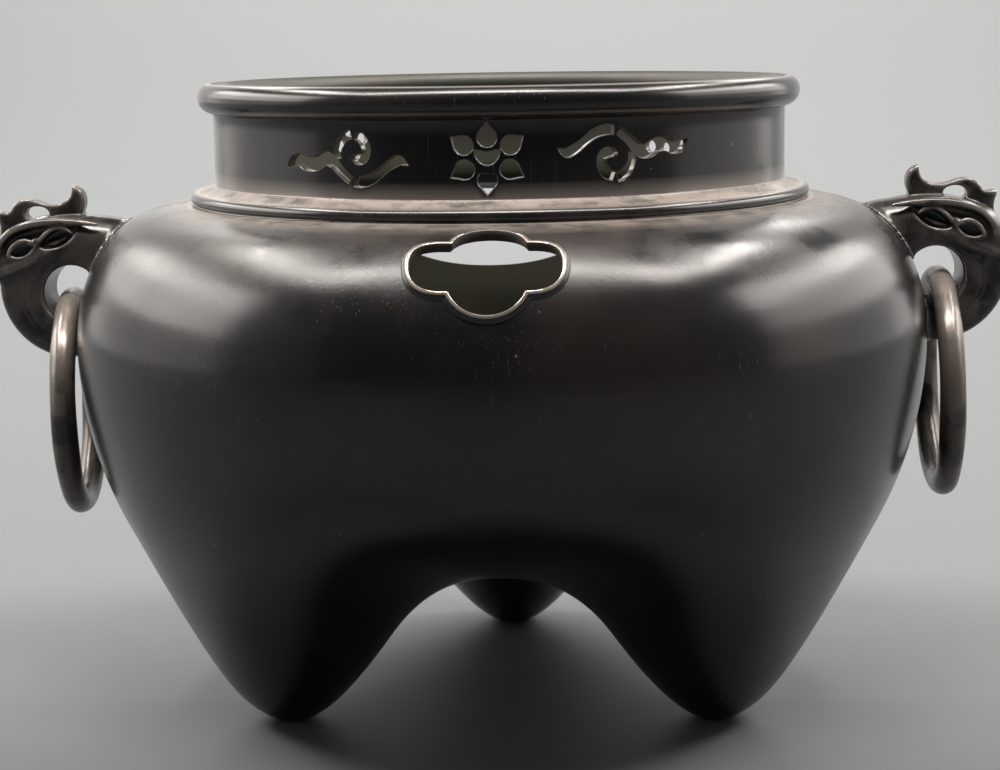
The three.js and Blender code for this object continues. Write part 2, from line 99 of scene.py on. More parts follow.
SHOULDER = [(170, 148), (169.6, 156), (167.6, 167), (164.4, 176), (160, 184.2), (153.6, 191.8),
            (145.5, 197.4), (134.5, 200.7), (124.2, 202.1)]
GROOVE = [(123.2, 202.2), (122.5, 202.3), (122.3, 202.6)]
NOSE = [(122.3, 202.8), (123, 203.5), (123.4, 204.4), (123.2, 205.4), (122.6, 206.3),
        (121.7, 206.9), (120.6, 207.2)]
SLOPE = [(118.6, 207.7), (116.2, 208.5), (114.2, 209.5), (113.9, 209.7)]
COLLAR = [(113.8, 210.1), (113.7, 216), (113.7, 224), (113.7, 232), (113.8, 237.1)]
RIM = [(114, 237.6), (115.2, 238), (116.8, 238.8), (118.2, 240), (119.2, 241.6), (119.6, 243.5),
       (119.4, 245.4), (118.7, 247), (117.6, 248.3), (116.2, 249.1), (115.2, 249.4)]
LAND = [(114.7, 249.35), (112.6, 248.9), (110.2, 249.1), (109.5, 249.45), (108.7, 249.5), (107.8, 249.2)]
RIM_INSIDE = [(106.6, 248), (105.6, 246.2), (105.6, 244), (106.9, 241.6), (108.8, 239.4), (110.2, 237)]
COLLAR_INSIDE = [(110.4, 232), (110.4, 222), (110.4, 211), (110.8, 204.6), (112.8, 201.4),
                 (117, 199.4), (124, 198.2)]

# The window: each lobe is across, up, half width, half height and squareness.
# Sections are the outline's growth and the height over the skin.
WINDOW_HEIGHT = 190.5
WINDOW_LOBES = ((1.4, 6.6, 13, 13.4, 2), (0.8, -6.3, 13.4, 11.9, 2), (-13.9, 0.1, 11.7, 10, 2.5),
                (14.6, 0.1, 11.5, 10, 2.5))
WINDOW_STEPS = 240
BAND_SECTION = [(-0.9, -2.2), (3.3, -2.2), (2.95, -0.15), (2.7, 0.12), (2.45, 0.5), (2.0, 0.92), (1.45, 1.22),
                (0.9, 1.38), (0.45, 1.44), (-0.9, 1.46)]
WINDOW_FLARE = [(1.5, -12), (1.1, -3), (0.35, -1.2), (0, -0.1), (0, 1.16), (0.08, 1.32),
                (0.28, 1.44), (0.4, 9)]

VENT_TOP = 195
VENT_DEPTH = 38.7
VENT_HALF_WIDTH = 58
VENT_POWER = 2.2
VENT_OFFSET = -10
VENT_TOOL = (110, 205)

OPENWORK_HEIGHT = 224.7
COLLAR_RADIUS = 113.75
FLOWER_ANGLE = -0.15  # degrees from the front, as for the clouds and blossoms
CLOUD_ANGLES = (-26.7, 24.7)
PETAL_RADIUS = 3.5
PETALS = [((0, 6.8), (0, 12.1)), ((8.3, 4.1), (12.8, 7.2)), ((-8.3, 4.1), (-12.8, 7.2)),
          ((8, -4.3), (12.9, -7)), ((-8, -4.3), (-12.9, -7))]
LOW_PETAL = ((0, -8), (0, -13.3))
LOW_PETAL_TOP = -5.8
FLOWER_EYE = {"width": 4.6, "top": 2.7, "dip": 0.8, "bottom": -2.9}
BLOSSOMS = ((-142, -15), (142.6, -40))  # the angle round the collar and the turn of the petals
BLOSSOM = {"petals": 4, "reach": 5.5, "radius": 2.7, "drop": 4.7}
CLOUD_STROKES = [
    [(-27.8, -4.2, 0.1), (-24.8, -2, 1.8), (-21.4, -1.3, 2.05), (-18.5, -2.6, 2.3), (-14.7, -2.8, 2.5),
     (-11.5, -1.4, 2.6), (-8.9, -0.5, 2.4), (-5.9, -1.6, 2.2), (-3, -4.6, 1.7), (1.5, -8.1, 1.5)],
    [(-4, -0.3, 1.6), (-3.8, 2.3, 1.5), (-2.6, 5, 1.7), (-0.2, 7.4, 1.7), (2, 8.1, 1.6)],
    [(3.5, 7.8, 1.5), (6.3, 6.5, 1.9), (8, 3.5, 1.8), (7.8, 0.6, 1.75), (5.7, -0.7, 1.9), (3.4, -0.5, 1.3),
     (2, -0.2, 0.3)],
    [(3.2, -8.5, 1.7), (6.3, -8.7, 1.9), (10.4, -7.5, 1.8), (14.5, -4.7, 1.5), (17.7, -2.4, 1.7),
     (21, -1, 1.7), (24.2, -2.5, 0.1)],
]
BAND_CREST = 1.34
# Rubbed lines round the vessel: share, radius, its spread, and height.
RUBBED_LINES = ((0.5, 115.6, 0.6, 249.3), (0.45, 108.9, 0.8, 249.4), (0.8, 120.8, 1.2, 207.1),
                (0.75, 113.9, 0.5, 209.7), (0.6, 124.4, 0.7, 202.1))
SCRATCH_TURNS = ((0.4, 0.2, 0), (1.5, 0.3, 0.6), (-0.5, 1.2, 0.2))
STAIN_PLACE = (-0.0267, 0.1578, 0.1422)  # in metres
OPENWORK_FLARE = ((-9, 0), (-0.45, 0), (-0.18, 0.1), (0.0, 0.32), (0.3, 0.7), (5, 0.8))

# The heads, in the right lug's place. Rolls are across, up and radius; leaves end with their tilt.
LUG_HALF_DEPTH = 13.5
LUG_EDGE = 4.2
NECK_EDGE = 12.5
NECK_SPAN = (161, 177)
LUGS = {"right": {"rise": 1.3, "slip": -2.6}, "left": {"rise": -2.5, "slip": 3.2}}
JAW = {"across": 173, "up": 171.5, "radius": 29.4}
HEAD_LINE = [(140, 188), (146, 196), (156, 198.3), (168, 199.6), (179, 199.2), (189, 197), (195.6, 193.6),
             (199.4, 188.6), (200.4, 185.4), (203.4, 184.9), (208.6, 184.2), (211.2, 180.8), (209.8, 176.8),
             (204.6, 174.8)]
JAW_LINES = ((18.6, -52, 22), (20.6, -38, 8))  # radius round the hole, first and last degree
JAW_ROOT = [(160, 141), (150, 165)]
HOLE = {"across": 173.2, "up": 168.8, "radius": 11.2, "mouth": 12.4}
CREST_HALF_DEPTH = 4
CREST_LINE = [(168.8, 197), (165.9, 201), (165, 204), (165.1, 207), (166.6, 209.8), (169.8, 211.6),
              (170, 209.4), (171, 207), (173.2, 205), (176.4, 204), (181, 204.4), (186, 206), (190.4, 206),
              (194, 203.8), (196.2, 200.9), (201, 201.2), (199.9, 196), (199.3, 189), (190, 189)]
CREST_HOLE = (184.4, 200.3, 4.9, 3.0)
BROW = [(158, 196.4, 0.6), (166, 197.2, 1.4), (175, 197.4, 2), (184, 196.5, 2.2), (191, 194.2, 2.3),
        (196.4, 190, 2.2), (198.8, 185, 1.6), (199, 181.6, 0.8)]
HOLLOW = [(172, 195.4, 0.8), (178, 194.2, 1.6), (184.5, 192.9, 2.1), (190.5, 191.2, 2.2), (194.6, 187.6, 1.9),
          (196, 184, 1)]
CHEEK = [(176, 186.6, 1), (179.6, 184.8, 1.9), (184.6, 182, 2.4), (190, 179.6, 2.6), (195.4, 177.6, 2.6),
         (201, 175.6, 2.2)]
EAR = (174.2, 191, 8.8, 3.5, -24)
EAR_BLADE = [(168.4, 193.2, 0.5), (171.6, 195.2, 0.9), (175.4, 195.2, 1), (179.2, 192.8, 1),
             (183.4, 188.4, 0.6)]
EAR_FOLD = [(171.2, 191.2, 0.5), (175.6, 189.2, 1.1), (180.2, 188, 0.5)]
EYE = (188.9, 186.2, 6, 2.9, -20)
EYE_LID = [(183.6, 188.8, 0.5), (186.7, 190, 1.2), (189.6, 189.7, 1.3), (192.6, 187.8, 1.1),
           (194.6, 185.2, 0.6)]
RING_RADIUS = 41.5
RING_PIVOT = (175.3, 164.6)
RINGS = {"right": {"rise": 2.3, "out": 0.8, "lean": -1.3, "twist": -1.5},
         "left": {"rise": -2.5, "out": 0.1, "lean": 0.7, "twist": -4.4}}


# Smooth shapes

def smooth_min(a, b, blend):
    overlap = np.maximum(blend - np.abs(a - b), 0) / blend
    return np.minimum(a, b) - overlap ** 2 * blend / 4


def smooth_max(a, b, blend):
    return -smooth_min(-a, -b, blend)


def on_circle(radius, azimuth, height):
    radius, azimuth, height = np.broadcast_arrays(radius, azimuth, height)
    return np.stack([radius * np.sin(azimuth), -radius * np.cos(azimuth), height], -1)


def foot_radius(height):
    rise = np.maximum(height + TOE_WORN, 0)
    return np.sqrt(TOE_ROUNDNESS * rise + TOE_SPREAD * rise ** 2)


def flank_radius(height):
    drop = BELLY_HEIGHT - np.maximum(height, FLANK_TOP)
    radius = np.sqrt(BELLY_RADIUS ** 2 - BELLY_TAPER * drop ** 2)
    return radius - FLANK_SLOPE * np.maximum(FLANK_TOP - height, 0)


def lower_body(points):
    """Below zero inside the lower body, above zero outside, roughly in millimetres."""
    x, y, z = np.moveaxis(points, -1, 0)
    radius = np.hypot(x, y)
    size = ((radius / BELLY_RADIUS) ** BOWL_POWER + (np.abs(BELLY_HEIGHT - z) / BOWL_DEPTH) ** BOWL_POWER)
    field = (size ** (1 / BOWL_POWER) - 1) * BOWL_DEPTH
    for azimuth in FOOT_AZIMUTHS:
        foot = on_circle(FOOT_CIRCLE, math.radians(azimuth), 0)
        reach = np.hypot(x - foot[0], y - foot[1])
        field = smooth_min(field, (reach - foot_radius(z)) * FOOT_CLOSENESS, ARCH_BLEND)
    flank = (radius - flank_radius(z)) * math.cos(math.atan(FLANK_SLOPE))
    return smooth_max(np.maximum(field, -FLANK_BLEND / 2 - z), flank, FLANK_BLEND)


def slope_of(field, points, step=0.5):
    slope = np.stack([field(points + step * axis) - field(points - step * axis) for axis in np.eye(3)], -1)
    return slope / np.linalg.norm(slope, axis=-1, keepdims=True)


def lower_skin(azimuths, pole_angles):
    """Points of the lower body's skin, a row for each angle from straight down."""
    pole = pole_angles[:, None]
    start = on_circle(0, azimuths[None, :] + 0 * pole, BELLY_HEIGHT + BELLY_HEART_RISE * np.cos(pole) ** 2)
    ray = on_circle(np.sin(pole), azimuths[None, :], -np.cos(pole))
    inside = np.full(start.shape[:2], 30.0)
    open_rays = np.ones_like(inside, bool)
    for _ in range(110):
        field = lower_body(start + ray * (inside + 2)[..., None])
        open_rays &= field < 0
        if not open_rays.any():
            break
        inside = np.where(open_rays, inside + 2, inside)
    low, high = inside, inside + 2
    for _ in range(14):
        middle = (low + high) / 2
        within = lower_body(start + ray * middle[..., None]) < 0
        low, high = np.where(within, middle, low), np.where(within, high, middle)
    return start + ray * low[..., None]


def meet_shoulder(skin, azimuths):
    """Eases the lower skin out to the shoulder's foot, which it would else miss between the feet."""
    brim = lower_skin(azimuths, np.array([math.pi / 2]))[0]
    missing = BELLY_RADIUS - np.hypot(brim[:, 0], brim[:, 1])
    rise = np.clip((skin[..., 2] - EASE_FROM) / (BELLY_HEIGHT - EASE_FROM), 0, 1)
    radius = np.hypot(skin[..., 0], skin[..., 1])
    wider = 1 + missing * rise ** 2 * (3 - 2 * rise) / np.maximum(radius, 1)
    return skin * np.stack([wider, wider, np.ones_like(wider)], -1)


def spline(points, steps, closed=False):
    """A smooth line through points, with steps between each two, and back to the first if closed."""
    points = np.array(points, float)
    if closed:
        padded = np.vstack([points[-1:], points, points[:2]])
    else:
        padded = np.vstack([2 * points[0] - points[1], points, 2 * points[-1] - points[-2]])
    rows = []
    for index in range(len(padded) - 3):
        a, b, c, d = padded[index:index + 4]
        for t in np.arange(steps) / steps:
            rows.append(0.5 * (2 * b + (c - a) * t + (2 * a - 5 * b + 4 * c - d) * t ** 2
                               + (3 * b - a - 3 * c + d) * t ** 3))
    return np.array(rows) if closed else np.vstack([rows, points[-1:]])


SHOULDER_SECTION = np.vstack([spline(SHOULDER, 4), [(60, 202.1), (60, 148)]])


class ShoulderLine:
    """The shoulder's profile by its own length, so that the window can be laid out on it."""

    def __init__(self):
        self.points = spline(SHOULDER, 24)
        steps = np.linalg.norm(np.diff(self.points, axis=0), axis=1)
        self.lengths = np.concatenate([[0], np.cumsum(steps)])
        self.window = np.interp(WINDOW_HEIGHT, self.points[:, 1], self.lengths)

    def place(self, across, up, height):
        length = np.clip(self.window + up, 0, self.lengths[-1])
        radius = np.interp(length, self.lengths, self.points[:, 0])
        z = np.interp(length, self.lengths, self.points[:, 1])
        ahead, behind = np.minimum(length + 1.5, self.lengths[-1]), np.maximum(length - 1.5, 0)
        along = np.stack([np.interp(ahead, self.lengths, self.points[:, axis])
                          - np.interp(behind, self.lengths, self.points[:, axis]) for axis in (0, 1)], -1)
        along /= np.linalg.norm(along, axis=-1, keepdims=True)
        return on_circle(radius + along[..., 1] * height, across / radius, z - along[..., 0] * height)


def window_reach(angles, grow):
    """Distance from the window's centre to its outline in each direction, the lobes grown by a margin."""
    inside, outside = np.zeros_like(angles), np.full_like(angles, 60.0)
    for _ in range(30):
        middle = (inside + outside) / 2
        covered = np.zeros(angles.shape, bool)
        for across, up, width, height, power in WINDOW_LOBES:
            covered |= (np.abs((middle * np.cos(angles) - across) / (width + grow)) ** power
                        + np.abs((middle * np.sin(angles) - up) / (height + grow)) ** power) < 1
        inside, outside = np.where(covered, middle, inside), np.where(covered, outside, middle)
    return inside


# Meshes

def stacked_faces(rings, count, closed):
    """Quads between rings that follow each other, and back to the first ring if closed."""
    rows = np.arange(rings if closed else rings - 1)[:, None]
    steps = np.arange(count)[None, :]
    here, there = rows * count, (rows + 1) % rings * count
    ahead = (steps + 1) % count
    return np.stack([here + steps, here + ahead, there + ahead, there + steps], -1).reshape(-1, 4)


def tube_mesh(rings):
    """A closed skin through rings, lowest first, with the end rings drawn together to a point."""
    count = rings.shape[1]
    points = np.vstack([rings.reshape(-1, 3), rings[0].mean(0), rings[-1].mean(0)])
    last = len(points) - 1
    ends = []
    for step in range(count):
        ahead = (step + 1) % count
        ends.append((last - 1, ahead, step))
        top = (len(rings) - 1) * count
        ends.append((last, top + step, top + ahead))
    return points, [*map(tuple, stacked_faces(len(rings), count, False)), *ends]


def mesh_object(name, points, faces):
    mesh = bpy.data.meshes.new(name)
    mesh.from_pydata((np.asarray(points) * MM).tolist(), [], [tuple(map(int, face)) for face in faces])
    mesh.validate()
    piece = bpy.data.objects.new(name, mesh)
    bpy.context.scene.collection.objects.link(piece)
    return piece


def carve(piece, tool, operation="DIFFERENCE"):
    """Cuts one tool from a piece, or joins it on, and throws the tool away."""
    step = piece.modifiers.new("carve", "BOOLEAN")
    step.operation = operation
    step.solver = "MANIFOLD"
    step.object = tool
    bpy.context.view_layer.update()
    before = len(piece.data.vertices)
    cut = bpy.data.meshes.new_from_object(piece.evaluated_get(bpy.context.evaluated_depsgraph_get()))
    piece.modifiers.remove(step)
    if not cut.vertices or len(cut.vertices) == before:
        raise RuntimeError(f"{tool.name} didn't change {piece.name}")
    piece.data = cut
    bpy.data.objects.remove(tool)


def vertex_positions(mesh):
    places = np.empty(len(mesh.vertices) * 3)
    mesh.vertices.foreach_get("co", places)
    return places.reshape(-1, 3) / MM


def paint(mesh, name, values):
    """Stores one value for each vertex, which the materials read by name."""
    layer = mesh.attributes.new(name, "FLOAT", "POINT")
    layer.data.foreach_set("value", np.clip(values, 0, 1).astype(np.float32))


def lit_group(name):
    """The collection of the pieces that some of the lamps light alone."""
    return bpy.data.collections.get(name) or bpy.data.collections.new(name)


def settle(piece, material, smooth_angle, body, node):
    """Gives a finished piece its smooth shading, finish and place on the solid that it stands for."""
    for polygon in piece.data.polygons:
        polygon.use_smooth = True
    piece.data.set_sharp_from_angle(angle=math.radians(smooth_angle))
    piece.data.materials.clear()
    piece.data.materials.append(material)
    lit_group(LIT_PIECES).objects.link(piece)
    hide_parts(node)
    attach(piece, body)


# The vessel

def vessel_rings(wall, around):
    """The vessel's skin as rings, from the middle of its underside over the rim and down inside."""
    azimuths = np.arange(around) * 2 * np.pi / around
    spans = ((1.5, 17, 7), (17, 31, 34), (31, 54, 22), (54, 90, 20))
    pole = np.radians(np.concatenate([np.linspace(a, b, n, endpoint=False) for a, b, n in spans] + [[90]]))
    lower = meet_shoulder(lower_skin(azimuths, pole), azimuths)
    lower[..., 2] = np.maximum(lower[..., 2], 0)
    profile = np.vstack([spline(SHOULDER, 5)[1:], GROOVE, spline(NOSE, 2), SLOPE, COLLAR, spline(RIM, 2),
                         spline(LAND, 2), RIM_INSIDE, COLLAR_INSIDE])
    shoulder = spline(SHOULDER, 2)
    along = np.gradient(shoulder, axis=0)
    along /= np.linalg.norm(along, axis=1, keepdims=True)
    inner_shoulder = (shoulder + np.stack([-along[:, 1], along[:, 0]], 1) * wall)[-3::-1]
    profile = np.vstack([profile, inner_shoulder])
    upper = on_circle(profile[:, None, 0], azimuths[None, :], profile[:, None, 1])
    inner_pole = np.radians(np.concatenate([np.linspace(86, 54, 10), np.linspace(51, 31, 9),
                                            np.linspace(29, 17, 9), np.linspace(13, 1.5, 4)]))
    inner = lower_skin(azimuths, inner_pole)
    inner = meet_shoulder(inner, azimuths) - slope_of(lower_body, inner) * wall
    inner[..., 2] = np.maximum(inner[..., 2], FOOT_SOLE)
    return np.concatenate([lower, upper, inner])


def window_rings(line, section):
    """The window's outline laid on the shoulder, once for each step of a section."""
    angles = np.arange(WINDOW_STEPS) * 2 * np.pi / WINDOW_STEPS
    rings = []
    for grow, height in section:
        reach = window_reach(angles, grow)
        rings.append(line.place(reach * np.cos(angles), reach * np.sin(angles), height))
    return np.array(rings)


def grown(outline, margin):
    """A closed outline moved outwards by a margin, with its sharp corners kept."""
    outline = np.array(outline, float)
    ahead = np.roll(outline, -1, 0) - outline
    behind = outline - np.roll(outline, 1, 0)
    normals = []
    for edge in (ahead, behind):
        edge = edge / np.maximum(np.linalg.norm(edge, axis=1, keepdims=True), 1e-9)
        normals.append(np.stack([edge[:, 1], -edge[:, 0]], 1))
    mean = normals[0] + normals[1]
    mean /= np.maximum(np.linalg.norm(mean, axis=1, keepdims=True), 1e-9)
    reach = np.clip((mean * normals[0]).sum(1), 0.45, 1)
    x, y = outline.T
    turn = np.sign(np.sum(x * np.roll(y, -1) - y * np.roll(x, -1)))
    return outline + turn * mean * (margin / reach)[:, None]


def petal_outline(root, tip, top=math.inf):
    dx, dy = tip[0] - root[0], tip[1] - root[1]
    facing, tangent = math.atan2(dy, dx), math.acos(PETAL_RADIUS / math.hypot(dx, dy))
    angles = facing + np.linspace(tangent, 2 * math.pi - tangent, 26)
    arc = [(root[0] + PETAL_RADIUS * math.cos(a), min(root[1] + PETAL_RADIUS * math.sin(a), top))
           for a in angles]
    start, end = np.array(arc[0]), np.array(arc[-1])
    tip = np.array(tip, float)
    flanks = [tip + (start - tip) * t for t in (0.33, 0.66)], [end + (tip - end) * t for t in (0.33, 0.66)]
    return [tuple(tip), *map(tuple, flanks[0]), *arc, *map(tuple, flanks[1])]


def flower_eye_outline():
    eye = FLOWER_EYE
    arc = [(eye["width"] * math.cos(a), eye["top"] + (eye["bottom"] - eye["top"]) * math.sin(a))
           for a in np.linspace(0, math.pi, 22)]
    top = [(-eye["width"] * (1 - t), eye["top"] - eye["dip"] * math.sin(t * math.pi / 2) ** 2)
           for t in (0.3, 0.6, 0.85)]
    return [(0, eye["top"] - eye["dip"]), *[(-x, y) for x, y in reversed(top)], *arc, *top]


def stroke_outline(stations):
    """A closed band along smooth stations of place and half width."""
    line = spline(stations, 6)
    along = np.gradient(line[:, :2], axis=0)
    along /= np.linalg.norm(along, axis=1, keepdims=True)
    half = np.maximum(line[:, 2:], 0.1)
    side = np.stack([along[:, 1], -along[:, 0]], 1) * half
    return np.vstack([line[:, :2] + side, (line[:, :2] - side)[::-1]])


def collar_tool(outline, angle, upside_down):
    """An outline cut through the collar, opening out a little at the skin to leave a softened edge."""
    outline = np.array(outline, float) * (-1 if upside_down else 1)
    x, y = outline.T
    if np.sum(x * np.roll(y, -1) - y * np.roll(x, -1)) < 0:
        outline = outline[::-1]
    rings = []
    for height, margin in OPENWORK_FLARE:
        spots = grown(outline, margin)
        rings.append(on_circle(COLLAR_RADIUS + height, math.radians(angle) + spots[:, 0] / COLLAR_RADIUS,
                               OPENWORK_HEIGHT + spots[:, 1]))
    return rings


def plate_tool(rings):
    """A closed tool from rings, its two ends filled across."""
    count = len(rings[0])
    points = np.vstack(rings)
    ends = [tuple(range(count))[::-1], tuple(range((len(rings) - 1) * count, len(rings) * count))]
    return points, [*map(tuple, stacked_faces(len(rings), count, False)), *ends]


def vent_tool():
    angles = np.linspace(0, math.pi, 60)
    across = -np.cos(angles)
    x = VENT_OFFSET + VENT_HALF_WIDTH * np.sign(across) * np.abs(across) ** (2 / VENT_POWER)
    z = VENT_TOP - VENT_DEPTH * np.sin(angles) ** (2 / VENT_POWER)
    return plate_tool([np.stack([x, np.full_like(x, y), z], 1) for y in VENT_TOOL])


def blossom_outlines(turn):
    around = np.linspace(0, 2 * math.pi, 28, endpoint=False)
    for petal in range(BLOSSOM["petals"]):
        facing = math.radians(turn + 360 * petal / BLOSSOM["petals"])
        x = BLOSSOM["reach"] * math.cos(facing) + BLOSSOM["radius"] * np.cos(around)
        y = BLOSSOM["reach"] * math.sin(facing) + BLOSSOM["radius"] * np.sin(around) - BLOSSOM["drop"]
        yield np.stack([x, y], 1)


def openwork_outlines():
    flower = [petal_outline(*petal) for petal in PETALS]
    flower += [petal_outline(*LOW_PETAL, LOW_PETAL_TOP), flower_eye_outline()]
    cloud = [stroke_outline(stroke) for stroke in CLOUD_STROKES]
    places = [(outline, FLOWER_ANGLE, False) for outline in flower]
    places += [(outline, angle, False) for angle, turn in BLOSSOMS for outline in blossom_outlines(turn)]
    places += [(outline, CLOUD_ANGLES[0], False) for outline in cloud]
    places += [(outline, CLOUD_ANGLES[1], True) for outline in cloud]
    return places


def make_solid(name, points, faces, cut=0):
    """A mesh with its faces turned outwards. Faces that a tool leaves behind are marked as cut."""
    tool = mesh_object(name, points, faces)
    shape = bmesh.new()
    shape.from_mesh(tool.data)
    bmesh.ops.triangulate(shape, faces=shape.faces)
    bmesh.ops.recalc_face_normals(shape, faces=shape.faces)
    shape.to_mesh(tool.data)
    shape.free()
    marks = tool.data.attributes.new("cut", "FLOAT", "FACE")
    marks.data.foreach_set("value", np.full(len(tool.data.polygons), cut, np.float32))
    return tool


def build_vessel(sizes):
    wall = sizes.wall / MM
    line = ShoulderLine()
    vessel = make_solid("vessel", *tube_mesh(vessel_rings(wall, 224)))
    band = window_rings(line, BAND_SECTION)
    band_faces = stacked_faces(len(band), WINDOW_STEPS, True)
    carve(vessel, make_solid("window band", band.reshape(-1, 3), band_faces), "UNION")
    carve(vessel, make_solid("window", *tube_mesh(window_rings(line, WINDOW_FLARE)), cut=1))
    carve(vessel, make_solid("vent", *vent_tool(), cut=1))
    for number, place in enumerate(openwork_outlines()):
        carve(vessel, make_solid(f"openwork {number}", *plate_tool(collar_tool(*place)), cut=1))
    return vessel


def paint_vessel(mesh):
    """Marks the skin inside the bowl, the rubbed lines and the ledges where dust settles."""
    spots = vertex_positions(mesh)
    radius, height = np.hypot(spots[:, 0], spots[:, 1]), spots[:, 2]
    upper = np.vstack([spline(SHOULDER, 8), NOSE, SLOPE, COLLAR, RIM])
    skin = np.interp(height, upper[:, 1], upper[:, 0])
    depth = np.where(height > BELLY_HEIGHT, skin - radius, -lower_body(spots))
    under = (height > 196) & (height < 203) & (radius < 122)
    paint(mesh, "inside", np.where(under, 1, (depth - 1.8) / 0.6) * (height > 2))
    worn = sum(share * np.exp(-((radius - middle) / spread) ** 2 - ((height - level) / 0.5) ** 2)
               for share, middle, spread, level in RUBBED_LINES)
    near_window = (height > 165) & (height < 200.5) & (spots[:, 1] < -100) & (np.abs(spots[:, 0]) < 45)
    band = np.where(near_window, distance_to_outline(radius, height, SHOULDER_SECTION), 0)
    paint(mesh, "worn", worn + 0.9 * (band - BAND_CREST) / 0.08 * (band > BAND_CREST))
    slope = np.exp(-((radius - 117.4) / 4) ** 4) * (height > 206.6) * (height < 210)
    dusty = 0.55 * np.exp(-((radius - 128) / 7) ** 2) * (height > 200) * (height < 203)
    paint(mesh, "dusty", slope + dusty)


# Shader expressions

class Wire:
    """A shader socket that can be written in sums."""

    def __init__(self, finish, socket):
        self.finish, self.socket = finish, socket

    def _sum(self, operation, *terms):
        return self.finish.node("Math", {"operation": operation}, dict(enumerate(terms)))

    def __add__(self, other):
        return self._sum("ADD", self, other)

    def __sub__(self, other):
        return self._sum("SUBTRACT", self, other)

    def __mul__(self, other):
        return self._sum("MULTIPLY", self, other)

    def __truediv__(self, other):
        return self._sum("DIVIDE", self, other)

    def __radd__(self, other):
        return self._sum("ADD", other, self)

    def __rsub__(self, other):
        return self._sum("SUBTRACT", other, self)

    def __rmul__(self, other):
        return self._sum("MULTIPLY", other, self)

    def __pow__(self, other):
        return self._sum("POWER", self, other)

    def clamped(self):
        return self._sum("MINIMUM", self._sum("MAXIMUM", self, 0), 1)


class Finish:
    """One material and the nodes that it is made of."""

    def __init__(self, name):
        self.material = bpy.data.materials.new(name)
        self.material.use_nodes = True
        self.tree = self.material.node_tree
        self.tree.nodes.clear()
        self.place = self.node("TexCoord", {}, {}, "Object")

    def node(self, kind, settings, sockets, output=0):
        """Any node: its settings first, then its sockets. Gives back one of its outputs."""
        made = self.tree.nodes.new("ShaderNode" + kind)
        for name, value in settings.items():
            setattr(made, name, value)
        for name, value in sockets.items():
            if isinstance(value, Wire):
                self.tree.links.new(value.socket, made.inputs[name])
            else:
                made.inputs[name].default_value = value
        return Wire(self, made.outputs[output]) if made.outputs else None

    def stretched(self, factors, turn=(0, 0, 0)):
        return self.node("Mapping", {}, {"Vector": self.place, "Scale": factors, "Rotation": turn})

    def noise(self, scale, detail, place=None, roughness=0.55):
        return self.node("TexNoise", {}, {"Vector": place or self.place, "Scale": scale, "Detail": detail,
                                          "Roughness": roughness})

    def between(self, value, low, high):
        """Rises smoothly from none to one as a value passes from low to high."""
        return self.node("MapRange", {"interpolation_type": "SMOOTHSTEP"},
                         {"Value": value, "From Min": low, "From Max": high})

    def blend(self, share, first, second):
        return self.node("Mix", {"data_type": "RGBA"}, {"Factor": share, "A": first, "B": second}, "Result")

    def painted(self, name):
        return self.node("Attribute", {"attribute_name": name}, {}, "Fac")

    def specks(self, scale, size, share, seed):
        """Small round specks, on a share of the cells only."""
        place = self.node("VectorMath", {"operation": "ADD"}, {0: self.place, 1: (seed, seed / 2, -seed)})
        cells, shade = (self.node("TexVoronoi", {}, {"Vector": place, "Scale": scale}, output)
                        for output in ("Distance", "Color"))
        pick = self.node("SeparateColor", {}, {"Color": shade})
        return (1 - self.between(cells, size * 0.4, size)) * self.between(pick, 1 - share, 1 - share + 0.01)

    def scratches(self, turn):
        """Hair-thin short scratches in one direction, in a few patches."""
        lines = self.noise(1, 1, self.stretched((1900, 1900, 26), turn), 0.4)
        patches = self.noise(16, 2, self.stretched((1, 1, 1), turn))
        return self.between(lines, 0.70, 0.76) * self.between(patches, 0.52, 0.66)

    def surface(self, sockets, relief):
        bump = self.node("Bump", {}, {"Strength": 1, "Distance": 0.001, "Height": relief})
        shader = self.node("BsdfPrincipled", {}, {"Normal": bump, **sockets})
        self.node("OutputMaterial", {}, {"Surface": shader})
        return self.material


def solid(color):
    return (*color, 1)


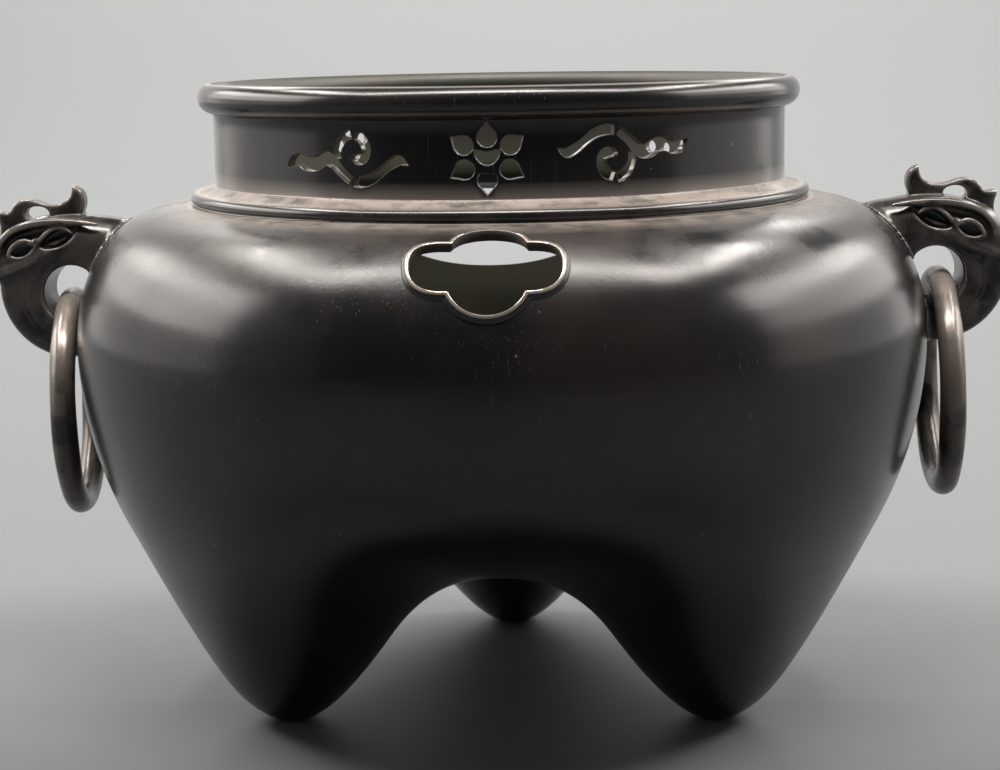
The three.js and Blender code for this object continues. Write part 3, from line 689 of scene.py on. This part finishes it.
def dark_bronze(name, colors, cast):
    """Near-black satin patina over bronze, browner where it is handled and pale on worn edges."""
    f = Finish(name)
    worn = f.painted("worn").clamped()
    cloud = f.noise(26, 4)
    broad = f.noise(7, 2)
    fine = f.noise(420, 3)
    grain = f.noise(1100, 2)
    lines = f.noise(1, 3, f.stretched((9, 9, 1500)))
    brown = f.between(broad * 0.55 + cloud * 0.45, 0.42, 0.62)
    skin = f.blend(brown, solid(colors.patina), solid(colors.patina_brown))
    specks = f.specks(190, 0.13, 0.018, 3.1) + f.specks(85, 0.1, 0.012, 7.7)
    lint = f.specks(330, 0.16, 0.01, 1.3)
    first, second, third = (f.scratches(turn) for turn in SCRATCH_TURNS)
    marks = (first + second + third).clamped()
    rough = 0.17 + 0.08 * cloud + 0.03 * lines - 0.03 * worn + 0.1 * marks
    relief = 0.10 * cloud + 0.02 * fine + 0.008 * grain + 0.010 * lines - 0.02 * marks
    if cast:
        cut = f.painted("cut")
        dusty = f.painted("dusty") * (0.35 + 0.65 * f.between(f.noise(90, 5, roughness=0.65), 0.35, 0.62))
        shoulder = f.node("SeparateXYZ", {}, {"Vector": f.place}, "Z")
        # Painted sheen: a warm paler tone in a band round the shoulder where its highlights fall. The grain
        # added to this band's roughness and bumps is the surface's own.
        sheen = f.between(shoulder, 0.172, 0.2) * (1 - f.between(shoulder, 0.2035, 0.206))
        sheen = sheen * f.between(cloud, 0.36, 0.6)
        skin = f.blend((sheen * 0.4).clamped(), skin, solid(colors.sheen))
        skin = f.blend(dusty.clamped(), skin, solid(colors.settled))
        rough = rough + 0.14 * dusty + 0.04 * sheen + 0.16 * sheen * grain
        relief = relief + 0.03 * sheen * grain
        rubbed = (worn * 0.85 + cut * 0.2).clamped()
    else:
        handled = f.between(f.noise(75, 4), 0.38, 0.6)
        skin = f.blend(0.35 + 0.5 * handled, skin, solid(colors.handled))
        rubbed = (worn * 0.5 + 0.06 * handled).clamped()
        relief = relief + 0.05 * handled
    skin = f.blend(rubbed, skin, solid(colors.worn))
    skin = f.blend((specks * 0.5 + lint * 0.35).clamped(), skin, solid(colors.dust))
    skin = f.blend(marks * 0.14, skin, solid(colors.dust))
    metal = (0.06 + rubbed * 0.8).clamped()
    if cast:
        inside = f.painted("inside").clamped() * (1 - cut)
        mottle = f.between(f.noise(38, 5, roughness=0.62), 0.45, 0.68)
        crust = f.noise(160, 4)
        lining = f.blend(mottle, solid(colors.lining), solid(colors.lining_brown))
        away = f.node("VectorMath", {"operation": "DISTANCE"}, {0: f.place, 1: STAIN_PLACE}, "Value")
        lining = f.blend(1 - f.between(away, 0.0018, 0.0032), lining, solid(colors.stain))
        # Painted shade: the lining turns towards the near-black patina up the inside of the collar.
        lining = f.blend(0.6 * f.between(shoulder, 0.205, 0.225), lining, solid(colors.patina))
        skin = f.blend(inside, skin, lining)
        rough = rough + inside * (0.22 + 0.1 * crust)
        relief = relief + inside * (0.12 * crust)
        metal = metal * (1 - inside)
    return f.surface({"Base Color": skin, "Roughness": rough.clamped(), "Metallic": metal}, relief)


def worn_bronze(name, colors):
    """Brown bronze rubbed by handling, dark where the patina still holds."""
    f = Finish(name)
    worn = f.painted("worn")
    pits = f.painted("pits")
    cloud = f.noise(60, 5, roughness=0.6)
    fine = f.noise(500, 3)
    dark = f.between(cloud, 0.45, 0.62)
    skin = f.blend(dark, solid(colors.ring), solid(colors.patina))
    skin = f.blend((worn * 0.8).clamped(), skin, solid(colors.worn))
    skin = f.blend((pits * 0.6).clamped(), skin, solid(colors.patina))
    rough = 0.20 + 0.16 * cloud + 0.1 * pits
    relief = 0.1 * cloud + 0.03 * fine
    metal = (0.35 - 0.2 * dark + 0.3 * worn).clamped()
    return f.surface({"Base Color": skin, "Roughness": rough.clamped(), "Metallic": metal}, relief)


def plain_floor(name, color):
    f = Finish(name)
    grain = f.noise(60, 3)
    return f.surface({"Base Color": f.blend(grain * 0.06, solid(color), solid([c * 0.9 for c in color])),
                      "Roughness": 0.5}, 0.02 * grain)


# The lugs, as smooth fields

def distance_to_outline(x, z, outline):
    """Signed distance to a closed outline in side view, below zero inside."""
    nearest = np.full(x.shape, 1e9)
    inside = np.zeros(x.shape, bool)
    for (ax, az), (bx, bz) in zip(outline, np.roll(outline, -1, 0)):
        ex, ez = bx - ax, bz - az
        wx, wz = x - ax, z - az
        share = np.clip((wx * ex + wz * ez) / max(ex * ex + ez * ez, 1e-12), 0, 1)
        nearest = np.minimum(nearest, (wx - ex * share) ** 2 + (wz - ez * share) ** 2)
        crosses = (az > z) != (bz > z)
        with np.errstate(divide="ignore", invalid="ignore"):
            inside ^= crosses & (x < ex * (z - az) / (ez if ez else 1e-12) + ax)
    return np.where(inside, -1, 1) * np.sqrt(nearest)


def plate(side_view, depth, half, edge):
    """A plate of a side view and half thickness, with round edges."""
    a, b = side_view + edge, np.abs(depth) - half + edge
    return np.minimum(np.maximum(a, b), 0) + np.hypot(np.maximum(a, 0), np.maximum(b, 0)) - edge


def roll(x, y, z, stations, depth):
    """A round roll of changing thickness along stations of across, up and radius, at a depth in the side."""
    best = np.full(x.shape, 1e9)
    line = spline(stations, 4)
    for (ax, az, ar), (bx, bz, br) in zip(line[:-1], line[1:]):
        ex, ez = bx - ax, bz - az
        share = np.clip(((x - ax) * ex + (z - az) * ez) / (ex * ex + ez * ez), 0, 1)
        away = np.sqrt((x - ax - ex * share) ** 2 + (z - az - ez * share) ** 2 + (y - depth) ** 2)
        best = np.minimum(best, away - (ar + (br - ar) * share))
    return best


def leaf(x, z, across, up, length, height, tilt):
    """Distance to a leaf shape that runs to a point at both ends."""
    turn = math.radians(tilt)
    u = (x - across) * math.cos(turn) + (z - up) * math.sin(turn)
    v = -(x - across) * math.sin(turn) + (z - up) * math.cos(turn)
    offset = (length ** 2 - height ** 2) / (2 * height)
    radius = offset + height
    return np.maximum(np.hypot(u, v - offset), np.hypot(u, v + offset)) - radius


def head_outline():
    angles = np.radians(np.linspace(2, -84, 16))
    jaw = np.stack([np.cos(angles), np.sin(angles)], 1) * JAW["radius"] + (JAW["across"], JAW["up"])
    return np.vstack([spline(HEAD_LINE, 4), jaw, JAW_ROOT])


def body_distance(x, y, z):
    """Distance outside the vessel's skin near the lugs."""
    upper = distance_to_outline(np.hypot(x, y), z, SHOULDER_SECTION)
    lower = lower_body(np.stack([x, y, z], -1))
    return np.where(z > BELLY_HEIGHT, upper, lower)


def lug_field(x, y, z, rise, slip):
    """Below zero inside one lug, in the right lug's place. The depth y counts from the middle plane."""
    z = z - rise
    across = x - slip
    head2 = distance_to_outline(x[:, 0, :], z[:, 0, :], head_outline())[:, None, :]
    head = plate(head2, y, LUG_HALF_DEPTH, np.interp(across, NECK_SPAN, [NECK_EDGE, LUG_EDGE]))
    head = smooth_min(head, roll(across, y, z, BROW, LUG_HALF_DEPTH - 0.9), 1.2)
    head = smooth_max(head, -roll(across, y, z, HOLLOW, LUG_HALF_DEPTH + 0.6), 1.4)
    head = smooth_min(head, roll(across, y, z, CHEEK, LUG_HALF_DEPTH - 1.2), 1.6)
    ear, eye = leaf(across, z, *EAR), leaf(across, z, *EYE)
    pit = np.maximum(np.minimum(ear + 0.4, eye + 0.4), LUG_HALF_DEPTH - 3.2 - y)
    head = smooth_max(head, -pit, 0.9)
    head = smooth_min(head, roll(across, y, z, EAR_FOLD, LUG_HALF_DEPTH - 2.2), 0.8)
    for lid in (EAR_BLADE, EYE_LID):
        head = smooth_min(head, roll(across, y, z, lid, LUG_HALF_DEPTH - 0.2), 0.7)
    rim = np.hypot(np.maximum(np.abs(eye) - 0.1, 0), y - LUG_HALF_DEPTH + 0.2) - 0.7
    head = smooth_min(head, rim, 0.7)
    hole_radius = np.interp(y, [11.5, 13, 15], [HOLE["radius"], HOLE["mouth"] - 0.5, HOLE["mouth"] + 0.5])
    away = np.hypot(x - HOLE["across"], z - HOLE["up"])
    head = smooth_max(head, hole_radius - away, 1)
    turn = np.degrees(np.arctan2(z - HOLE["up"], x - HOLE["across"]))
    for radius, first, last in JAW_LINES:
        groove = np.hypot(away - radius, y - LUG_HALF_DEPTH - 0.1) - 0.65
        ends = np.maximum(first - turn, turn - last) * 0.3
        head = smooth_max(head, -np.maximum(groove, ends), 0.4)
    crest2 = distance_to_outline(across[:, 0, :], z[:, 0, :], spline(CREST_LINE, 4, closed=True))[:, None, :]
    middle, level, half_width, half_height = CREST_HOLE
    hole = (np.hypot((across - middle) / half_width, (z - level) / half_height) - 1) * half_height
    crest = smooth_max(plate(crest2, y, CREST_HALF_DEPTH, 1.1), -hole, 0.6)
    return smooth_min(head, crest, 0.8)


def surface_net(field, low, cell):
    """A quad mesh where a field on a grid passes zero."""
    inside = field < 0
    cells = np.array(field.shape) - 1
    total, count = np.zeros((*cells, 3)), np.zeros(cells)
    quads = []
    for axis in range(3):
        lower, upper = [slice(None)] * 3, [slice(None)] * 3
        lower[axis], upper[axis] = slice(0, -1), slice(1, None)
        lower, upper = tuple(lower), tuple(upper)
        crossing = inside[lower] != inside[upper]
        start = np.argwhere(crossing)
        a, b = field[lower][crossing], field[upper][crossing]
        place = start.astype(float)
        place[:, axis] += a / (a - b)
        u, v = [other for other in range(3) if other != axis]
        for du in (0, -1):
            for dv in (0, -1):
                cube = start.copy()
                cube[:, u] += du
                cube[:, v] += dv
                fits = ((cube >= 0) & (cube < cells)).all(1)
                np.add.at(total, tuple(cube[fits].T), place[fits])
                np.add.at(count, tuple(cube[fits].T), 1)
        whole = (start[:, u] > 0) & (start[:, v] > 0) & (start[:, u] < cells[u]) & (start[:, v] < cells[v])
        corners = []
        for du, dv in ((0, 0), (-1, 0), (-1, -1), (0, -1)):
            cube = start[whole].copy()
            cube[:, u] += du
            cube[:, v] += dv
            corners.append(np.ravel_multi_index(tuple(cube.T), cells))
        quad = np.stack(corners, 1)
        backwards = inside[lower][crossing][whole] == (axis == 1)
        quad[backwards] = quad[backwards][:, ::-1]
        quads.append(quad)
    used = np.flatnonzero(count.ravel())
    number = np.full(count.size, -1)
    number[used] = np.arange(len(used))
    points = total.reshape(-1, 3)[used] / count.ravel()[used][:, None]
    return low + points * cell, number[np.vstack(quads)]


def build_lug(side, cell):
    sizes = LUGS[side]
    low = np.array([139.0, -18.0, 136.0])
    high = np.array([214.0, 18.0, 216.0])
    steps = [np.arange(a, b + cell, cell) for a, b in zip(low, high)]
    half = np.arange(0, high[1] + cell, cell)
    x, y, z = np.meshgrid(steps[0], half, steps[2], indexing="ij")
    head = lug_field(x, y, z, sizes["rise"], sizes["slip"])
    body = body_distance(x, y, z)
    skirt = smooth_min(head, body - 0.15, 2.4)
    field = np.maximum(skirt, 0.2 - body)
    mirrored = np.concatenate([field[:, :0:-1], field], 1)
    low[1] = -half[-1]
    points, quads = surface_net(mirrored, low, cell)
    if side == "left":
        points[:, 0] *= -1
        quads = quads[:, ::-1]
    return points, quads


def build_ring(side, wire):
    sizes = RINGS[side]
    around, about = 220, 30
    turn = np.arange(around) * 2 * np.pi / around
    bend = np.arange(about) * 2 * np.pi / about
    t, b = np.meshgrid(turn, bend, indexing="ij")
    hand = 0.10 * np.sin(3 * t + 0.5) + 0.07 * np.sin(7 * t + 2) + 0.05 * np.sin(13 * t) * np.cos(b)
    thick = wire + hand
    radius = RING_RADIUS + thick * np.cos(b)
    x = thick * np.sin(b)
    places = np.stack([x, radius * np.sin(t), radius * np.cos(t) - RING_RADIUS], -1)
    for angle, axis in ((sizes["lean"], (0, 1, 0)), (sizes["twist"], (0, 0, 1))):
        places = places @ np.array(Matrix.Rotation(math.radians(angle), 3, Vector(axis))).T
    places += (RING_PIVOT[0] + sizes["out"], 0, RING_PIVOT[1] + sizes["rise"])
    if side == "left":
        places[..., 0] *= -1
    return places.reshape(-1, 3), stacked_faces(around, about, True), t.ravel(), b.ravel()


# Add-on

def span(name, description, default, low, high):
    return bpy.props.FloatProperty(name=name, description=description, default=default, min=low, max=high,
                                   unit="LENGTH", subtype="DISTANCE")


def tint(name, description, default):
    return bpy.props.FloatVectorProperty(name=name, description=description, default=default, size=3, min=0,
                                         max=1, subtype="COLOR")


class BrazierSizes(bpy.types.PropertyGroup):
    wall: span("Wall", "Thickness of the casting", 0.0028, 0.0015, 0.006)
    ring_wire: span("Ring wire", "Radius of the rings' wire", 0.005, 0.003, 0.006)
    lug_cell: span("Lug fineness", "Grid step of the lugs' mesh", 0.0006, 0.0004, 0.002)


class BrazierColors(bpy.types.PropertyGroup):
    patina: tint("Patina", "Near-black patina of the casting", (0.0045, 0.0044, 0.0048))
    patina_brown: tint("Brown patina", "Warmer patches of the patina", (0.012, 0.0096, 0.0086))
    # The tint of the painted sheen on the shoulder.
    sheen: tint("Shoulder haze", "Warm haze on the shoulder", (0.050, 0.040, 0.036))
    settled: tint("Settled dust", "Pinkish dust that stays on ledges", (0.250, 0.210, 0.185))
    handled: tint("Handled bronze", "Grey brown of the parts that hands touch", (0.012, 0.0108, 0.0102))
    worn: tint("Worn edges", "Bronze showing on rubbed edges", (0.42, 0.37, 0.33))
    dust: tint("Dust", "Specks and fine scratches", (0.20, 0.19, 0.17))
    lining: tint("Lining", "Olive skin inside the bowl", (0.058, 0.061, 0.047))
    lining_brown: tint("Brown lining", "Brown patches inside the bowl", (0.075, 0.060, 0.040))
    stain: tint("Stain", "Tan stain on the wall inside", (0.50, 0.36, 0.22))
    ring: tint("Rings", "Brown of the handled rings", (0.072, 0.060, 0.050))
    floor: tint("Floor", "Plain pale floor and backdrop", (0.62, 0.62, 0.61))


class BRAZIER_OT_stage(bpy.types.Operator):
    """Make the camera, the pale floor and the soft studio lights"""
    bl_idname = "brazier.stage"
    bl_label = "Stage"

    def execute(self, context):
        make_camera(context.scene)
        make_floor(context.scene.brazier_colors)
        make_lights(context.scene)
        return {"FINISHED"}


class BRAZIER_OT_vessel(bpy.types.Operator):
    """Make the vessel with its window, vent and openwork collar"""
    bl_idname = "brazier.vessel"
    bl_label = "Vessel"

    def execute(self, context):
        vessel = build_vessel(context.scene.brazier_sizes)
        paint_vessel(vessel.data)
        finish = dark_bronze("dark bronze vessel", context.scene.brazier_colors, True)
        settle(vessel, finish, 34, "brazier", "brazier_vessel")
        return {"FINISHED"}


class BRAZIER_OT_lugs(bpy.types.Operator):
    """Make the two beast-head lugs"""
    bl_idname = "brazier.lugs"
    bl_label = "Beast-head lugs"

    def execute(self, context):
        finish = dark_bronze("dark bronze lugs", context.scene.brazier_colors, False)
        for side in LUGS:
            lug = mesh_object(f"lug_{side}", *build_lug(side, context.scene.brazier_sizes.lug_cell / MM))
            smoother = lug.modifiers.new("smooth", "SMOOTH")
            smoother.factor, smoother.iterations = 0.4, 2
            context.view_layer.update()
            lug.data = bpy.data.meshes.new_from_object(lug.evaluated_get(context.evaluated_depsgraph_get()))
            lug.modifiers.clear()
            paint_lug(lug.data)
            settle(lug, finish, 60, "brazier", f"beast_lug_{side}")
        return {"FINISHED"}


class BRAZIER_OT_rings(bpy.types.Operator):
    """Make the two loose rings"""
    bl_idname = "brazier.rings"
    bl_label = "Ring handles"

    def execute(self, context):
        finish = worn_bronze("worn bronze", context.scene.brazier_colors)
        for side in RINGS:
            points, faces, turn, bend = build_ring(side, context.scene.brazier_sizes.ring_wire / MM)
            ring = mesh_object(f"ring_{side}", points, faces)
            paint_ring(ring.data, side, turn, bend)
            settle(ring, finish, 60, f"{side}_ring", f"handle_ring_{side}")
        return {"FINISHED"}


class BRAZIER_PT_panel(bpy.types.Panel):
    """The brazier's parts, sizes and colours"""
    bl_idname = "BRAZIER_PT_panel"
    bl_label = "Bronze brazier"
    bl_space_type = "VIEW_3D"
    bl_region_type = "UI"
    bl_category = "Brazier"

    def draw(self, context):
        for group in (context.scene.brazier_sizes, context.scene.brazier_colors):
            for name in group.__annotations__:
                self.layout.prop(group, name)
        for operator in OPERATORS:
            self.layout.operator(operator.bl_idname)


def paint_lug(mesh):
    """Pale wear on the parts of the head that stand out furthest."""
    shape = bmesh.new()
    shape.from_mesh(mesh)
    shape.normal_update()
    curve = np.zeros(len(mesh.vertices))
    for vertex in shape.verts:
        near = [edge.other_vert(vertex).co for edge in vertex.link_edges]
        middle = sum(near, Vector()) / len(near)
        curve[vertex.index] = (vertex.co - middle).dot(vertex.normal) / MM
    for _ in range(3):
        spread = curve.copy()
        for vertex in shape.verts:
            near = [edge.other_vert(vertex).index for edge in vertex.link_edges]
            spread[vertex.index] = np.mean(curve[near])
        curve = (curve + spread) / 2
    shape.free()
    paint(mesh, "worn", (curve - 0.022) / 0.06)


def paint_ring(mesh, side, turn, bend):
    """Rings are rubbed where they pass through the lug, and the right one is pitted."""
    top = np.exp(-(np.minimum(turn, 2 * np.pi - turn) / 0.9) ** 2)
    outer = np.maximum(np.cos(bend), 0)
    paint(mesh, "worn", 0.75 * top * (0.4 + 0.6 * outer))
    scar = np.exp(-((turn - (5.6 if side == "right" else 9)) / 0.16) ** 2)
    paint(mesh, "pits", scar * (0.5 + 0.5 * np.sin(37 * turn + 9 * bend) * np.cos(23 * bend)))


# Stage

def make_camera(scene):
    """The camera that stands where the photograph was taken from."""
    pitch, roll_over, heading = CAMERA_ANGLES
    turn = Matrix.Rotation(BRAZIER_TURN, 3, "Z")
    ahead = Vector((math.sin(heading), math.cos(heading), 0))
    right = Vector((math.cos(heading), -math.sin(heading), 0))
    forward = ahead * math.cos(pitch) - Vector((0, 0, math.sin(pitch)))
    up = right.cross(forward)
    right, up = (right * math.cos(roll_over) + up * math.sin(roll_over),
                 up * math.cos(roll_over) - right * math.sin(roll_over))
    rotation = turn @ Matrix((right, up, -forward)).transposed()
    data = bpy.data.cameras.new("camera")
    data.sensor_width = 36
    data.lens = FOCAL_SHARE * data.sensor_width
    camera = bpy.data.objects.new("camera", data)
    camera.matrix_world = Matrix.Translation(turn @ Vector(CAMERA_PLACE)) @ rotation.to_4x4()
    scene.collection.objects.link(camera)
    scene.camera = camera


def make_floor(colors):
    """A floor that rises in one soft curve to a backdrop."""
    half, front, back, height, radius = FLOOR
    bend = np.linspace(0, math.pi / 2, 24)
    curve = [(back - radius + radius * math.sin(a), radius - radius * math.cos(a)) for a in bend]
    profile = [(front, 0), *curve, (back, height)]
    points = [(x, y, z) for y, z in profile for x in (-half, half)]
    faces = [(2 * i, 2 * i + 1, 2 * i + 3, 2 * i + 2) for i in range(len(profile) - 1)]
    floor = mesh_object("floor", np.array(points) / MM, faces)
    for polygon in floor.data.polygons:
        polygon.use_smooth = True
    floor.data.materials.append(plain_floor("pale floor", colors.floor))
    lit_group(LIT_FLOOR).objects.link(floor)


def softbox(scene, name, place, size, power, color, target, lit, along=None):
    """A soft lamp that lights the pieces of one collection alone, and nothing else.
    Its first side lies along the given direction, if there is one."""
    data = bpy.data.lights.new(name, "AREA")
    data.shape = "RECTANGLE"
    data.size, data.size_y = size
    data.energy = power
    data.color = color
    lamp = bpy.data.objects.new(name, data)
    lamp.location = place
    lamp.light_linking.receiver_collection = lit
    back = (Vector(place) - Vector(target)).normalized()
    turn = (-back).to_track_quat("-Z", "Y").to_matrix()
    if along:
        side = (Vector(along) - back * back.dot(Vector(along))).normalized()
        turn = Matrix((side, back.cross(side), back)).transposed()
    lamp.rotation_mode = "QUATERNION"
    lamp.rotation_quaternion = turn.to_quaternion()
    scene.collection.objects.link(lamp)


def strip_lamp(scene, name, start, end, width, power, lit):
    start, end = Vector(start), Vector(end)
    line = end - start
    softbox(scene, name, start + line / 2, (line.length, width), power, LAMP_COLOR, (0, 0, 0.14), lit, line)


def wall_lamps(scene, side, lit):
    """The tiles of one side wall, edge to edge, with a dim wall before them and one behind."""
    for first, last, column in zip(WALL_STOPS[:-1], WALL_STOPS[1:], WALL_WATTS[side]):
        for low, high, power in zip(WALL_LEVELS[:-1], WALL_LEVELS[1:], column):
            along, up = (first + last) / 2, (low + high) / 2
            softbox(scene, "wall", (side * TENT_WALL, along, up), (last - first, high - low), power,
                    LAMP_COLOR, (0, along, up), lit, (0, 1, 0))
    softbox(scene, "front wall", (side * TENT_WALL, -0.9, 0.55), (0.9, 1.0), FRONT_WALL_WATTS[side],
            LAMP_COLOR, (0, -0.9, 0.55), lit, (0, 1, 0))
    softbox(scene, "back wall", (side * 0.75, 1.42, 0.6), (1.2, 1.0), BACK_WATTS[side], LAMP_COLOR,
            (side * 0.75, 0, 0.6), lit, (1, 0, 0))


def make_lights(scene):
    world = bpy.data.worlds.new("studio")
    world.use_nodes = True
    background = world.node_tree.nodes["Background"]
    background.inputs["Color"].default_value = (0.9, 0.95, 1.0, 1)
    background.inputs["Strength"].default_value = 0.05
    scene.world = world
    scene.view_settings.view_transform = "Standard"
    pieces, floor = lit_group(LIT_PIECES), lit_group(LIT_FLOOR)
    strip_lamp(scene, *FRONT_STRIP_MIDDLE, pieces)
    for side in (1, -1):
        mirror = Vector((side, 1, 1))
        for name, start, end, width, *watts in TENT_STRIPS:
            start, end = Vector(start) * mirror, Vector(end) * mirror
            strip_lamp(scene, name, start, end, width, watts[side < 0], pieces)
        wall_lamps(scene, side, pieces)
    softbox(scene, "top", (0, 0, 1.6), (0.5, 0.5), 3, LAMP_COLOR, (0, 0, 0.14), pieces)
    for name, place, size, power, target in FLOOR_LAMPS:
        softbox(scene, name, place, size, power, (1, 1, 1), target, floor)


OPERATORS = (BRAZIER_OT_stage, BRAZIER_OT_vessel, BRAZIER_OT_lugs, BRAZIER_OT_rings)
CLASSES = (BrazierSizes, BrazierColors, *OPERATORS, BRAZIER_PT_panel)


def register():
    for each in CLASSES:
        bpy.utils.register_class(each)
    bpy.types.Scene.brazier_sizes = bpy.props.PointerProperty(type=BrazierSizes)
    bpy.types.Scene.brazier_colors = bpy.props.PointerProperty(type=BrazierColors)


def unregister():
    del bpy.types.Scene.brazier_colors
    del bpy.types.Scene.brazier_sizes
    for each in reversed(CLASSES):
        bpy.utils.unregister_class(each)


def main():
    register()
    bpy.ops.brazier.stage()
    bpy.ops.brazier.vessel()
    bpy.ops.brazier.lugs()
    bpy.ops.brazier.rings()
    bpy.context.view_layer.update()


if __name__ == "__main__":
    main()
